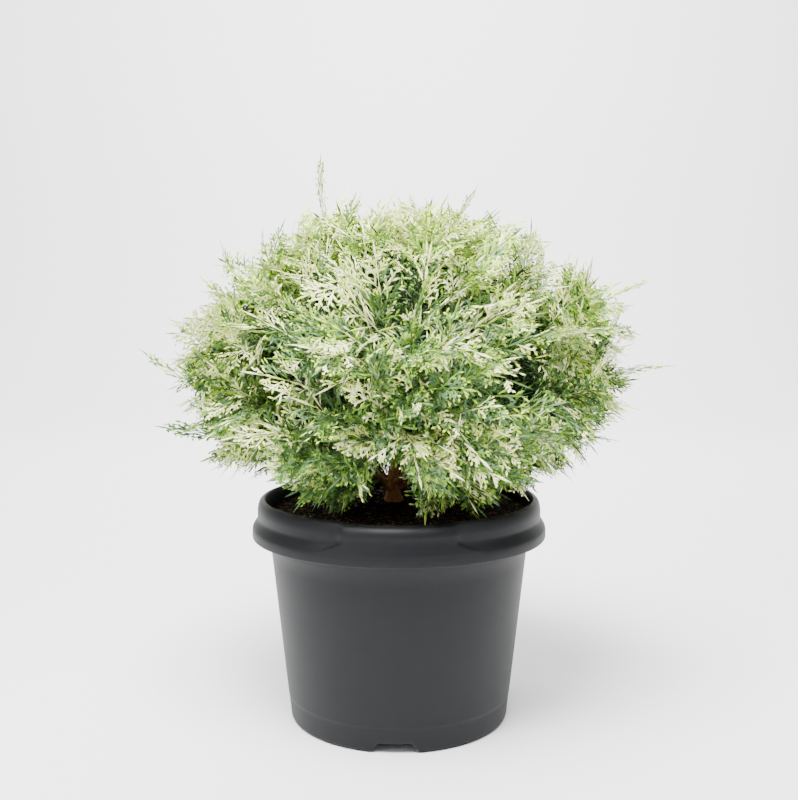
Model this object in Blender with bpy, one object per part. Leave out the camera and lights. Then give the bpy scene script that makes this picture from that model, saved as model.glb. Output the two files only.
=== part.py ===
# Potted variegated Lawson cypress: a young globe-shaped conifer in a 19 cm grower's pot.
# Metres, +Z up. The origin is the middle of the pot's flat underside, and -Y is the front.

import math

import bmesh
import bpy
import numpy as np
from mathutils import Matrix, Vector
from mathutils.bvhtree import BVHTree

CLEARANCE = 0.0003  # gap between two pieces that touch

# Pot: a tapered body with a turned-down collar
POT_HEIGHT = 0.1437
POT_FOOT_RADIUS = 0.0713
POT_WALL = 0.0014
POT_FLOOR = 0.0022
POT_EDGE = 0.0010  # scale of the moulded edges' rounding
STEP_LOW, STEP_HIGH = 0.1125, 0.1180  # stacking step, hidden behind the collar
BODY_TOP_RADIUS = 0.0832
COLLAR_RADIUS = 0.0950
COLLAR_BOTTOM = 0.1192
LIP_RADIUS = 0.0872
SHELF_DROP = 0.0025  # underside of the shelf from the lip out to the collar
GRIP_RADIUS = 0.0916  # wall of the two recessed grips at the sides
GRIP_LOW, GRIP_HIGH = 0.1268, 0.1385
LIP_DIP = 0.0010  # the lip lies lower between the grips
PLAIN_SWELL = 0.0018  # the upper collar stands this much further out between the grips
PLAIN_HALF_ANGLE = 21.0  # degrees of plain collar either side of front and back
GRIP_BLEND_ANGLE = 4.0

# Drainage: channels moulded up into the floor, open at the wall
CHANNEL_COUNT = 3
CHANNEL_TURN = -92.0  # degrees, where the front one points
CHANNEL_HEIGHT = 0.0057
CHANNEL_TOP_WIDTH = 0.021
CHANNEL_FOOT_WIDTH = 0.035
CHANNEL_INNER_END = 0.044
CHANNEL_ROUND = 0.0035
DRAIN_RADIUS = 0.0045
CUT_PAST = 0.0010  # how far a cutter runs past the face it opens

# Soil
SOIL_EDGE = 0.1345
SOIL_SHOULDER = 0.1362
SOIL_MIDDLE = 0.1375
SOIL_SHOULDER_RADIUS = 0.0628
SOIL_FLAT_RADIUS = 0.024

# Trunk
TRUNK_FOOT = Vector((-0.0036, 0.0110, SOIL_MIDDLE + CLEARANCE))
TRUNK_TIP = Vector((0.0095, 0.0100, 0.2380))
TRUNK_SWAY = 0.0026
TRUNK_SIDES = 10
TRUNK_RADIUS = 0.0042
TRUNK_TIP_RADIUS = 0.0015
TRUNK_LAST = 0.0030  # the last piece of the trunk lies in line with the mass on its tip
FLARE_RADIUS = 0.0021  # added at the cut, gone a few millimetres up
FLARE_HEIGHT = 0.0060
FLARE_LOBES = 5

# Boughs
BOUGH_RADIUS = 0.0021
BOUGH_TIP_RADIUS = 0.0013
BOUGH_SIDES = 5
BOUGH_RISE = 0.35  # how steeply a bough leaves the trunk
BOUGH_LEAVE, BOUGH_ARRIVE = 0.4, 0.3  # parts of its span over which a bough holds its first and last line
BOUGH_STRAIGHT = 0.08  # part of its span that is straight at the end

# Crown: masses are cones of space around one point low in the trunk
CROWN_HEART = Vector((-0.0030, 0.0110, 0.1650))
CROWN_CENTRE = Vector((0.0040, 0.0080, 0.2360))
CROWN_SIZE = Vector((0.1440, 0.1380, 0.0980))  # half sizes of the rounded outline
OUTLINE_LIMIT = 1.02  # how far past the rounded outline a spray may reach
MASS_START = 0.30  # part of its reach at which a mass leaves its bough
SPACE_MARGIN = 0.0005
LIMB_MARGIN = 0.0006
POT_MARGIN = 0.0010
TOP_MASS = "top_right"

# Each mass: azimuth and elevation of its axis, its reach, and its bough's height on the trunk
MASSES = {
    "skirt_right": (2, 8, 0.142, 0.0075),
    "skirt_back_right": (62, 6, 0.138, 0.0120),
    "skirt_back_left": (120, 6, 0.138, 0.0070),
    "skirt_left": (178, 8, 0.150, 0.0120),
    "skirt_front_left": (-122, 3, 0.122, 0.0070),
    "skirt_front_right": (-55, 3, 0.122, 0.0120),
    "middle_right": (-8, 23, 0.182, 0.0250),
    "middle_back_right": (55, 27, 0.164, 0.0310),
    "middle_back_left": (125, 27, 0.164, 0.0250),
    "middle_left": (188, 22, 0.173, 0.0310),
    "middle_front": (-88, 21, 0.146, 0.0280),
    "upper_right": (0, 38, 0.200, 0.0460),
    "upper_back": (95, 48, 0.165, 0.0520),
    "upper_left": (176, 44, 0.166, 0.0460),
    "upper_front": (-82, 47, 0.160, 0.0520),
    "top_left": (180, 74, 0.200, 0.0700),
    "top_back": (88, 72, 0.172, 0.0780),
    TOP_MASS: (-8, 75, 0.182, None),  # grows on from the trunk's tip
}

# Twigs
STEM_RADIUS = 0.0012
TWIG_RADIUS = 0.0008
TWIG_TIP_RADIUS = 0.0005
TWIG_SIDES = 3
TWIGS = 4  # on one stem
TWIG_ANGLE = 60.0
TWIG_ROLL = 137.5  # degrees from one twig to the next round the stem
TWIG_LENGTH = 0.44  # of the stem's own length, for the lowest twig
TWIG_SHORTENING = 0.35  # part of that length lost towards the stem's tip
TWIG_FIRST, TWIG_SPREAD = 0.12, 0.80  # where the lowest twig leaves, and how far on the last one does
TWIG_TRIES = 8

# Sprays: toothed blades
SPRAYS = 12  # at most, in one mass
SIDE_SHARES = (0.55, 0.30, 0.80, 0.12, 0.65)  # places along a twig that are tried in turn
SPRAY_ANGLE = 62.0
SPRAY_DROOP = 0.45  # how far level sprays turn down
SPRAY_SAG = 0.10  # how far a blade's tip bends down, of its length
SPRAY_LENGTH = 0.052
SPRAY_SHORTEST = 0.6  # of that length
SPRAY_WIDTH = 0.042
SPRAY_THICKNESS = 0.0015
SPRAY_SINK = 0.0016  # how far a spray's foot goes past its twig's axis
SPRAY_TRIES = 24
LEAD_SLIMNESS = 0.5  # width of the spray at a mass's tip
LEAD_SHARE = 0.85  # of a spray's length lies past the stem's end
TEETH = 2  # on each side
TEETH_START, TEETH_SPAN = 0.10, 0.44  # part of the blade's length that carries them
TEETH_TAPER = 0.60
NOTCH_REACH = 0.45  # how far out the notches lie, of the tooth beside them
SEED = 20


def clear_scene():
    for old in list(bpy.data.objects):
        bpy.data.objects.remove(old, do_unlink=True)


def material(name, colour, roughness):
    """A plain finish with one colour in linear light."""
    finish = bpy.data.materials.new(name)
    finish.use_nodes = True
    shader = finish.node_tree.nodes["Principled BSDF"]
    shader.inputs["Base Color"].default_value = (*colour, 1.0)
    shader.inputs["Roughness"].default_value = roughness
    shader.inputs["Metallic"].default_value = 0.0
    return finish


def add_object(name, mesh, finish=None):
    piece = bpy.data.objects.new(name, mesh)
    bpy.context.collection.objects.link(piece)
    if finish:
        mesh.materials.append(finish)
    return piece


def mesh_from(name, points, faces):
    mesh = bpy.data.meshes.new(name)
    mesh.from_pydata([tuple(p) for p in points], [], faces)
    mesh.update()
    return mesh


def boolean(piece, helper, operation):
    """Cuts or joins with a helper object, which is left as a hidden wire."""
    cut = piece.modifiers.new(f"{operation.lower()} {helper.name}", "BOOLEAN")
    cut.operation = operation
    cut.solver = "EXACT"
    cut.object = helper
    helper.hide_render = True
    helper.display_type = "WIRE"


def smooth(piece, angle=35.0):
    piece.data.shade_smooth()
    piece.data.set_sharp_from_angle(angle=math.radians(angle))


def direction(azimuth, elevation):
    a, e = math.radians(azimuth), math.radians(elevation)
    return Vector((math.cos(a) * math.cos(e), math.sin(a) * math.cos(e), math.sin(e)))


# Pot and soil


def turning_angles():
    """Angles round the pot, with a pair of close ones where each grip ends."""
    plain, blend = PLAIN_HALF_ANGLE, GRIP_BLEND_ANGLE
    half = [*np.linspace(-plain, plain, 6), *np.linspace(plain + blend, 180 - plain - blend, 12)]
    return np.radians(np.array([*half, *(a + 180 for a in half)]) - 90.0)


def grip_share(angle):
    """1 in the grips at the sides, 0 on the plain collar at front and back."""
    from_middle = abs((math.degrees(angle) + 90.0 + 90.0) % 180.0 - 90.0)
    return min(max((from_middle - PLAIN_HALF_ANGLE) / GRIP_BLEND_ANGLE, 0.0), 1.0)


def turned(name, profile):
    """Closed mesh through profile(angle), a list of (radius, height) that starts and ends on the axis."""
    angles = turning_angles()
    rings = [profile(a) for a in angles]
    count = len(rings[0]) - 2
    points = [(0.0, 0.0, rings[0][0][1])]
    for angle, ring in zip(angles, rings):
        points += [(r * math.cos(angle), r * math.sin(angle), z) for r, z in ring[1:-1]]
    points.append((0.0, 0.0, rings[0][-1][1]))
    last, faces = len(points) - 1, []
    for i in range(len(angles)):
        here, there = 1 + i * count, 1 + (i + 1) % len(angles) * count
        faces.append((0, there, here))
        faces += [(here + k, there + k, there + k + 1, here + k + 1) for k in range(count - 1)]
        faces.append((here + count - 1, there + count - 1, last))
    return mesh_from(name, points, faces)


def pot_profile(angle):
    """From the middle of the underside up the outside, over the lip and down the inside."""
    grip = grip_share(angle)
    plain, edge = 1.0 - grip, POT_EDGE
    top = POT_HEIGHT - LIP_DIP * plain
    upper = GRIP_RADIUS + PLAIN_SWELL * plain
    body_inside, collar_inside = LIP_RADIUS + 0.4 * edge, COLLAR_RADIUS - POT_WALL
    return [
        (0.0, 0.0),
        (POT_FOOT_RADIUS - 1.5 * edge, 0.0),
        (POT_FOOT_RADIUS, 1.8 * edge),
        (BODY_TOP_RADIUS, STEP_LOW),
        (body_inside, STEP_HIGH),
        (body_inside + 0.5 * edge, GRIP_HIGH - SHELF_DROP),
        (upper - POT_WALL - 0.2 * edge, GRIP_HIGH - SHELF_DROP),
        (upper - POT_WALL, GRIP_LOW + 0.6 * edge),
        (collar_inside - 0.4 * edge, GRIP_LOW - 1.8 * edge),
        (collar_inside - 0.2 * edge, COLLAR_BOTTOM + 1.3 * edge),
        (COLLAR_RADIUS - 0.7 * edge, COLLAR_BOTTOM),
        (COLLAR_RADIUS, COLLAR_BOTTOM + 1.3 * edge),
        (COLLAR_RADIUS, GRIP_LOW - 2.0 * edge),
        (COLLAR_RADIUS - (0.2 + 0.7 * grip) * edge, GRIP_LOW - 0.3 * edge),
        (upper + (0.2 + 0.8 * plain) * edge, GRIP_LOW + (0.4 + 1.2 * plain) * edge),
        (upper, GRIP_HIGH - 1.2 * edge),
        (upper - (1.0 - 0.8 * plain) * edge, GRIP_HIGH + 0.9 * grip * edge),
        (LIP_RADIUS + 1.1 * edge, top - 0.3 * edge),
        (LIP_RADIUS, top),
        (LIP_RADIUS - 0.5 * edge, top - 0.9 * edge),
        (body_inside - POT_WALL, STEP_HIGH + edge),
        (BODY_TOP_RADIUS - POT_WALL, STEP_LOW),
        (POT_FOOT_RADIUS - POT_WALL, POT_FLOOR),
        (0.0, POT_FLOOR),
    ]


def soil_profile(_):
    """The fill follows the wall from the floor to a low mound that is level round the trunk."""
    low, edge = POT_FLOOR + CLEARANCE, LIP_RADIUS - POT_WALL
    return [
        (0.0, low),
        (POT_FOOT_RADIUS - POT_WALL - CLEARANCE, low),
        (BODY_TOP_RADIUS - POT_WALL - CLEARANCE, STEP_LOW),
        (edge, STEP_HIGH + POT_EDGE),
        (edge + CLEARANCE, SOIL_EDGE),
        (SOIL_SHOULDER_RADIUS, SOIL_SHOULDER),
        (SOIL_FLAT_RADIUS, SOIL_MIDDLE),
        (0.0, SOIL_MIDDLE),
    ]


def channel_block(name, grow, low, outer_end, turn):
    """A drainage channel's prism, grown evenly: wide at the foot, narrow and rounded at the top."""
    slope = (CHANNEL_FOOT_WIDTH - CHANNEL_TOP_WIDTH) / 2 / CHANNEL_HEIGHT
    high, inner = CHANNEL_HEIGHT + grow, CHANNEL_INNER_END - grow
    wide = CHANNEL_FOOT_WIDTH / 2 + grow * math.hypot(1.0, slope)
    foot, top = wide - slope * low, wide - slope * high
    section = [(-foot, low), (foot, low), (top, high), (-top, high)]
    points = [(x, y, z) for x in (inner, outer_end) for y, z in section]
    faces = [(3, 2, 1, 0), (4, 5, 6, 7)]
    faces += [(i, (i + 1) % 4, 4 + (i + 1) % 4, 4 + i) for i in range(4)]
    mesh = mesh_from(name, points, faces)
    shape = bmesh.new()
    shape.from_mesh(mesh)
    upper = [e for e in shape.edges if all(v.co.z > high - 1e-6 for v in e.verts)]
    along = [e for e in upper if abs(e.verts[0].co.x - e.verts[1].co.x) > 1e-6]
    bmesh.ops.bevel(shape, geom=along, offset=CHANNEL_ROUND, segments=3, profile=0.5, affect="EDGES")
    bmesh.ops.recalc_face_normals(shape, faces=shape.faces)
    shape.to_mesh(mesh)
    shape.free()
    mesh.transform(Matrix.Rotation(turn, 4, "Z"))
    return add_object(name, mesh)


def drain_hole(name, turn):
    shape = bmesh.new()
    bmesh.ops.create_cone(
        shape, cap_ends=True, segments=12, radius1=DRAIN_RADIUS, radius2=DRAIN_RADIUS, depth=0.01
    )
    mesh = bpy.data.meshes.new(name)
    shape.to_mesh(mesh)
    shape.free()
    middle = Matrix.Translation(((CHANNEL_INNER_END + POT_FOOT_RADIUS) / 2, 0.0, CHANNEL_HEIGHT))
    mesh.transform(Matrix.Rotation(turn, 4, "Z") @ middle)
    return add_object(name, mesh)


def channel_turns():
    return [math.radians(CHANNEL_TURN + 360.0 * i / CHANNEL_COUNT) for i in range(CHANNEL_COUNT)]


def make_pot(finish):
    pot = add_object("pot", turned("pot", pot_profile), finish)
    wall_middle, outside = POT_FOOT_RADIUS - POT_WALL / 2, POT_FOOT_RADIUS + 10 * CUT_PAST
    for i, turn in enumerate(channel_turns()):
        roof = channel_block(f"channel_roof_{i}", POT_WALL, 0.4 * CUT_PAST, wall_middle, turn)
        boolean(pot, roof, "UNION")
        space = channel_block(f"channel_space_{i}", 0.0, -CUT_PAST, outside, turn)
        boolean(pot, space, "DIFFERENCE")
        boolean(pot, drain_hole(f"drain_{i}", turn), "DIFFERENCE")
    smooth(pot)


def make_soil(finish):
    soil = add_object("soil", turned("soil", soil_profile), finish)
    outside = POT_FOOT_RADIUS + 10 * CUT_PAST
    for i, turn in enumerate(channel_turns()):
        around = channel_block(f"channel_around_{i}", POT_WALL + CLEARANCE, -CUT_PAST, outside, turn)
        boolean(soil, around, "DIFFERENCE")


# Limbs


def frames_along(path):
    """Side and up at each point of a path, turning as little as possible."""
    tangents = np.gradient(path, axis=0)
    tangents /= np.linalg.norm(tangents, axis=1)[:, None]
    side = np.cross(tangents[0], (0.31, 0.83, 0.11))  # any direction well off the paths
    sides = []
    for tangent in tangents:
        side = side - tangent * np.dot(side, tangent)
        side = side / np.linalg.norm(side)
        sides.append(side)
    sides = np.array(sides)
    return sides, np.cross(tangents, sides)


def tube(name, path, radii, sides, lobes=0, lobe_depth=None):
    """A capped tube round a path. With lobes, its section swells in that many places."""
    path = np.array(path, dtype=float)
    side, up = frames_along(path)
    turn = np.linspace(0.0, 2 * math.pi, sides, endpoint=False)
    radii = np.array(radii)[:, None] * np.ones(sides)
    if lobes:
        radii = radii + np.array(lobe_depth)[:, None] * np.cos(lobes * turn)
    rings = path[:, None] + radii[..., None] * (
        np.cos(turn)[:, None] * side[:, None] + np.sin(turn)[:, None] * up[:, None]
    )
    if lobes:
        rings[0, :, 2] = path[0, 2]
    faces = [tuple(reversed(range(sides)))]
    for k in range(len(path) - 1):
        for i in range(sides):
            j = (i + 1) % sides
            faces.append((k * sides + i, k * sides + j, (k + 1) * sides + j, (k + 1) * sides + i))
    faces.append(tuple(range((len(path) - 1) * sides, len(path) * sides)))
    return mesh_from(name, rings.reshape(-1, 3), faces)


def trunk_point(height):
    """Centre of the trunk at a height above its cut, along a gentle sway."""
    t = height / (TRUNK_TIP.z - TRUNK_FOOT.z)
    sway = TRUNK_SWAY * math.sin(2 * math.pi * t)
    return TRUNK_FOOT.lerp(TRUNK_TIP, t) + Vector((-sway, 0.6 * sway, 0.0))


def trunk_radius(height):
    t = height / (TRUNK_TIP.z - TRUNK_FOOT.z)
    flare = FLARE_RADIUS * math.exp(-height / FLARE_HEIGHT)
    return TRUNK_RADIUS + (TRUNK_TIP_RADIUS - TRUNK_RADIUS) * t**0.8 + flare


def mass_line(name):
    """Where a mass leaves its limb, and the direction from there to its tip."""
    azimuth, elevation, reach, height = MASSES[name]
    axis = direction(azimuth, elevation)
    if height is not None:
        return CROWN_HEART + axis * reach * MASS_START, axis
    return TRUNK_TIP, (CROWN_HEART + axis * reach - TRUNK_TIP).normalized()


def trunk_mesh(name, grow=0.0):
    length = TRUNK_TIP.z - TRUNK_FOOT.z
    heights = [0.0, 0.0025, 0.0060, 0.0120, *np.linspace(0.024, length - 0.010, 5), length]
    path = [trunk_point(h) for h in heights]
    path.insert(-1, TRUNK_TIP - mass_line(TOP_MASS)[1] * TRUNK_LAST)
    heights.insert(-1, length - TRUNK_LAST)
    radii = [trunk_radius(h) + grow for h in heights]
    depth = [0.6 * FLARE_RADIUS * math.exp(-h / FLARE_HEIGHT) for h in heights]
    return tube(name, path, radii, TRUNK_SIDES, FLARE_LOBES, depth)


def bough_path(name):
    """From the trunk's axis in a rising curve to where the mass starts, in line with it."""
    azimuth, _, _, height = MASSES[name]
    start = trunk_point(height)
    end, axis = mass_line(name)
    span = (end - start).length
    leave = (direction(azimuth, 0.0) + Vector((0, 0, BOUGH_RISE))).normalized()
    last = end - axis * span * BOUGH_STRAIGHT
    first, second = start + leave * span * BOUGH_LEAVE, last - axis * span * BOUGH_ARRIVE
    curve = [
        start * (1 - t) ** 3 + first * 3 * t * (1 - t) ** 2 + second * 3 * t**2 * (1 - t) + last * t**3
        for t in np.linspace(0.0, 1.0, 4)
    ]
    return [*curve, end]


def bough_mesh(name, piece_name, grow=0.0):
    path = bough_path(name)
    share = np.linspace(0.0, 1.0, len(path))
    radii = BOUGH_RADIUS + (BOUGH_TIP_RADIUS - BOUGH_RADIUS) * share + grow
    return tube(piece_name, path, radii, BOUGH_SIDES)


def names_with_boughs():
    return [name for name in MASSES if name != TOP_MASS]


def make_limbs(finish):
    trunk = add_object("trunk", trunk_mesh("trunk"), finish)
    smooth(trunk)
    around_trunk = add_object("trunk_clearance", trunk_mesh("trunk_clearance", CLEARANCE))
    for name in names_with_boughs():
        bough = add_object(f"bough_{name}", bough_mesh(name, f"bough_{name}"), finish)
        boolean(bough, around_trunk, "DIFFERENCE")
        smooth(bough)


# Foliage


def points_of(mesh):
    flat = np.empty(len(mesh.vertices) * 3)
    mesh.vertices.foreach_get("co", flat)
    return flat.reshape(-1, 3)


def tree_of(meshes):
    """Search tree over the faces of several meshes."""
    points, faces = [], []
    for mesh in meshes:
        first = len(points)
        points += [v.co.copy() for v in mesh.vertices]
        faces += [tuple(first + i for i in p.vertices) for p in mesh.polygons]
    return BVHTree.FromPolygons(points, faces)


class Space:
    """The cone of space that belongs to one mass, less the limbs, the pot and the soil."""

    axes = {name: direction(row[0], row[1]) for name, row in MASSES.items()}

    def __init__(self, name, limbs):
        own = np.array(self.axes[name])
        others = [np.array(a) for other, a in self.axes.items() if other != name]
        self.planes = np.array([(own - o) / np.linalg.norm(own - o) for o in others])
        self.limbs = limbs

    def holds(self, mesh):
        points = points_of(mesh)
        ends = np.array([e.vertices[:] for e in mesh.edges])
        samples = np.concatenate([points, (points[ends[:, 0]] + points[ends[:, 1]]) / 2])
        if ((samples - np.array(CROWN_HEART)) @ self.planes.T).min() < SPACE_MARGIN:
            return False
        return clear_of_pot(samples) and not self.limbs.overlap(tree_of([mesh]))


def clear_of_pot(points):
    """Above the soil inside the lip, above the lip over the collar, and not far below it outside."""
    radius = np.hypot(points[:, 0], points[:, 1])
    floor = np.where(radius < LIP_RADIUS - 3 * POT_MARGIN, SOIL_MIDDLE, POT_HEIGHT) + POT_MARGIN
    floor = np.where(radius > COLLAR_RADIUS + 3 * POT_MARGIN, POT_HEIGHT - 10 * POT_MARGIN, floor)
    return bool((points[:, 2] > floor).all())


def outline_share(point):
    """0 in the middle of the crown and 1 on its rounded outline."""
    offset = point - CROWN_CENTRE
    return math.sqrt(sum((offset[i] / CROWN_SIZE[i]) ** 2 for i in range(3)))


def spray_mesh(name, foot, axis, face, length, width):
    """A toothed blade: a lens with a ridge, whose teeth point forward on both sides."""
    side = axis.cross(face).normalized()
    face = side.cross(axis).normalized()
    half = SPRAY_THICKNESS / 2

    def at(along, across, lift=0.0):
        sag = -SPRAY_SAG * length * along**2
        return foot + axis * along * length + side * across * width / 2 + face * (lift + sag)

    spacing = TEETH_SPAN / TEETH
    points, top, low = [at(0.0, 0.0), at(1.0, 0.0)], [at(0.05, 0.0, half)], [at(0.05, 0.0, -half)]
    for j in range(TEETH):
        middle = TEETH_START + spacing * (j + 0.5)
        reach = 1.0 - TEETH_TAPER * (j / TEETH) ** 1.3
        for hand in (-1, 1):
            forward = middle + spacing * (1.40 + 0.25 * hand)
            points.append(at(forward, hand * reach))
            points.append(at(middle + spacing * 0.62, hand * reach * NOTCH_REACH))
        thin = 1.0 - 0.5 * j / TEETH
        top.append(at(middle, 0.0, half * thin))
        low.append(at(middle, 0.0, -half * thin))
    first_top = len(points)
    faces = []
    for first, flip in ((first_top, False), (first_top + len(top), True)):
        for hand in (0, 1):
            notch, patch = 0, []
            for j in range(TEETH):
                ridge_before, ridge, tip = first + j, first + j + 1, 2 + 4 * j + 2 * hand
                patch.append((notch, tip, ridge) if j else (0, tip, ridge_before))
                patch.append((ridge_before, notch if j else tip, ridge))
                patch.append((tip, tip + 1, ridge))
                notch = tip + 1
            patch.append((notch, 1, first + TEETH))
            turn = flip == bool(hand)
            faces += [tuple(reversed(f)) if turn else f for f in patch]
    return mesh_from(name, points + top + low, faces)


def face_towards(axis, out, roll):
    """A face direction square to the axis, turned by roll from looking outwards."""
    square = out - axis * out.dot(axis)
    if square.length < 0.05:
        square = axis.orthogonal()
    return Matrix.Rotation(roll, 3, axis) @ square.normalized()


def side_direction(axis, roll, angle):
    across = Matrix.Rotation(roll, 3, axis) @ axis.orthogonal().normalized()
    return (axis * math.cos(angle) + across * math.sin(angle)).normalized()


def grow_mass(name, seed, limbs):
    """Stem, twigs and sprays of one mass, each a mesh that keeps to the mass's space."""
    rng = np.random.default_rng(seed)
    start, axis = mass_line(name)
    tip = CROWN_HEART + direction(*MASSES[name][:2]) * MASSES[name][2]
    space = Space(name, limbs)
    foot = start + axis * CLEARANCE
    length = (tip - start).length
    wood = length - SPRAY_LENGTH * LEAD_SHARE
    stem_path = [foot + axis * wood * t for t in np.linspace(0.0, 1.0, 3)]
    parts = [tube("stem", stem_path, np.linspace(STEM_RADIUS, TWIG_RADIUS, 3), TWIG_SIDES)]
    lead = (tip - stem_path[-1]).length + SPRAY_SINK
    add_spray(parts, space, stem_path[-1], axis, rng, lead)
    twigs = []
    for k in range(TWIGS):
        share = TWIG_FIRST + TWIG_SPREAD * k / (TWIGS - 1)
        roll = math.radians(TWIG_ROLL) * k + rng.uniform(-0.4, 0.4)
        long = length * TWIG_LENGTH * (1.0 - TWIG_SHORTENING * share)
        twigs += grow_twig(parts, space, foot + axis * wood * share, axis, roll, long)
    for path in twigs:
        spray_at(parts, space, path, 1.0, rng)
    for share in SIDE_SHARES:
        for path in twigs:
            if len(parts) < 1 + TWIGS + SPRAYS:
                spray_at(parts, space, path, share, rng)
    return parts


def grow_twig(parts, space, at, axis, roll, length):
    """One twig that bends outwards, turned and shortened till it fits. Gives its path, if any."""
    for _ in range(TWIG_TRIES):
        leave = side_direction(axis, roll, math.radians(TWIG_ANGLE))
        out = (at + leave * length - CROWN_HEART).normalized()
        bend = (leave + out * 0.6).normalized()
        path = [at, at + leave * length * 0.5, at + (leave + bend) * length * 0.5]
        twig = tube("twig", path, [TWIG_RADIUS, TWIG_RADIUS, TWIG_TIP_RADIUS], TWIG_SIDES)
        if space.holds(twig):
            parts.append(twig)
            return [path]
        roll += 0.6
        length *= 0.93
    return []


def spray_at(parts, space, path, share, rng):
    """A spray at a share of a twig's length: in line with it at the tip, and elsewhere aside."""
    at = path[0].lerp(path[1], share * 2) if share <= 0.5 else path[1].lerp(path[2], share * 2 - 1)
    along = (path[2] - path[1]).normalized()
    out = (at - CROWN_HEART).normalized()
    if share < 1.0:
        along = side_direction(along, rng.uniform(0, 2 * math.pi), math.radians(SPRAY_ANGLE))
    droop = Vector((0.0, 0.0, -SPRAY_DROOP * math.hypot(out.x, out.y)))
    add_spray(parts, space, at, (along + out * 0.2 + droop).normalized(), rng)


def add_spray(parts, space, twig_end, axis, rng, lead=None):
    """Adds a spray, shortened to the crown's outline, unless it would leave the mass's space."""
    out = (twig_end - CROWN_HEART).normalized()
    others = tree_of([part for part in parts if part.name.startswith("spray")])
    for _ in range(SPRAY_TRIES):
        foot = twig_end - axis * SPRAY_SINK
        long = lead or SPRAY_LENGTH * rng.uniform(0.9, 1.1)
        shortest = long if lead else SPRAY_LENGTH * SPRAY_SHORTEST
        while long > shortest and outline_share(foot + axis * long) > OUTLINE_LIMIT:
            long *= 0.94
        width = SPRAY_WIDTH * (LEAD_SLIMNESS if lead else (long / SPRAY_LENGTH) ** 0.5)
        face = face_towards(axis, out, rng.uniform(-0.8, 0.8))
        spray = spray_mesh("spray", foot, axis, face, long, width)
        if space.holds(spray) and not others.overlap(tree_of([spray])):
            parts.append(spray)
            return
        if not lead:
            nudge = Vector(rng.normal(0.0, 0.3, 3))
            axis = (axis + out * 0.1 + nudge).normalized()


def biggest_shell(mesh):
    """Drops loose scraps and sealed hollows: only the shell with the most faces stays."""
    shape = bmesh.new()
    shape.from_mesh(mesh)
    seen, shells = set(), []
    for face in shape.faces:
        if face in seen:
            continue
        shell, queue = [], [face]
        seen.add(face)
        while queue:
            here = queue.pop()
            shell.append(here)
            fresh = {near for edge in here.edges for near in edge.link_faces} - seen
            seen |= fresh
            queue += sorted(fresh, key=lambda near: near.index)
        shells.append(shell)
    shells.sort(key=len)
    for shell in shells[:-1]:
        bmesh.ops.delete(shape, geom=shell, context="FACES")
    shape.to_mesh(mesh)
    shape.free()


def fuse(name, parts, finish):
    """Joins a mass by one Boolean union on a collection."""
    mass = add_object(name, parts[0])
    group = bpy.data.collections.new(f"{name}_parts")
    for i, part in enumerate(parts[1:]):
        group.objects.link(bpy.data.objects.new(f"{name}_{i}", part))
    union = mass.modifiers.new("union", "BOOLEAN")
    union.operation = "UNION"
    union.operand_type = "COLLECTION"
    union.solver = "EXACT"
    union.collection = group
    evaluated = mass.evaluated_get(bpy.context.evaluated_depsgraph_get())
    mesh = bpy.data.meshes.new_from_object(evaluated)
    mass.modifiers.clear()
    mass.data = mesh
    for part in list(group.objects):
        bpy.data.objects.remove(part, do_unlink=True)
    bpy.data.collections.remove(group)
    biggest_shell(mesh)
    mesh.materials.clear()
    mesh.materials.append(finish)


def make_masses(finishes):
    grown = [trunk_mesh("trunk_margin", LIMB_MARGIN)]
    grown += [bough_mesh(name, f"{name}_margin", LIMB_MARGIN) for name in names_with_boughs()]
    limbs = tree_of(grown)
    for i, name in enumerate(MASSES):
        parts = grow_mass(name, SEED + i, limbs)
        fuse(f"mass_{name}", parts, finishes[i % len(finishes)])


def main():
    clear_scene()
    plastic = material("moulded anthracite polypropylene", (0.052, 0.053, 0.058), 0.5)
    substrate = material("damp bark substrate", (0.018, 0.010, 0.006), 0.9)
    bark = material("young cypress bark", (0.23, 0.12, 0.05), 0.8)
    foliage = [
        material("cream variegated foliage", (0.66, 0.68, 0.38), 0.6),
        material("lime green foliage", (0.33, 0.48, 0.12), 0.6),
        material("blue green foliage", (0.13, 0.26, 0.14), 0.6),
    ]
    make_pot(plastic)
    make_soil(substrate)
    make_limbs(bark)
    make_masses(foliage)


main()
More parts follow.
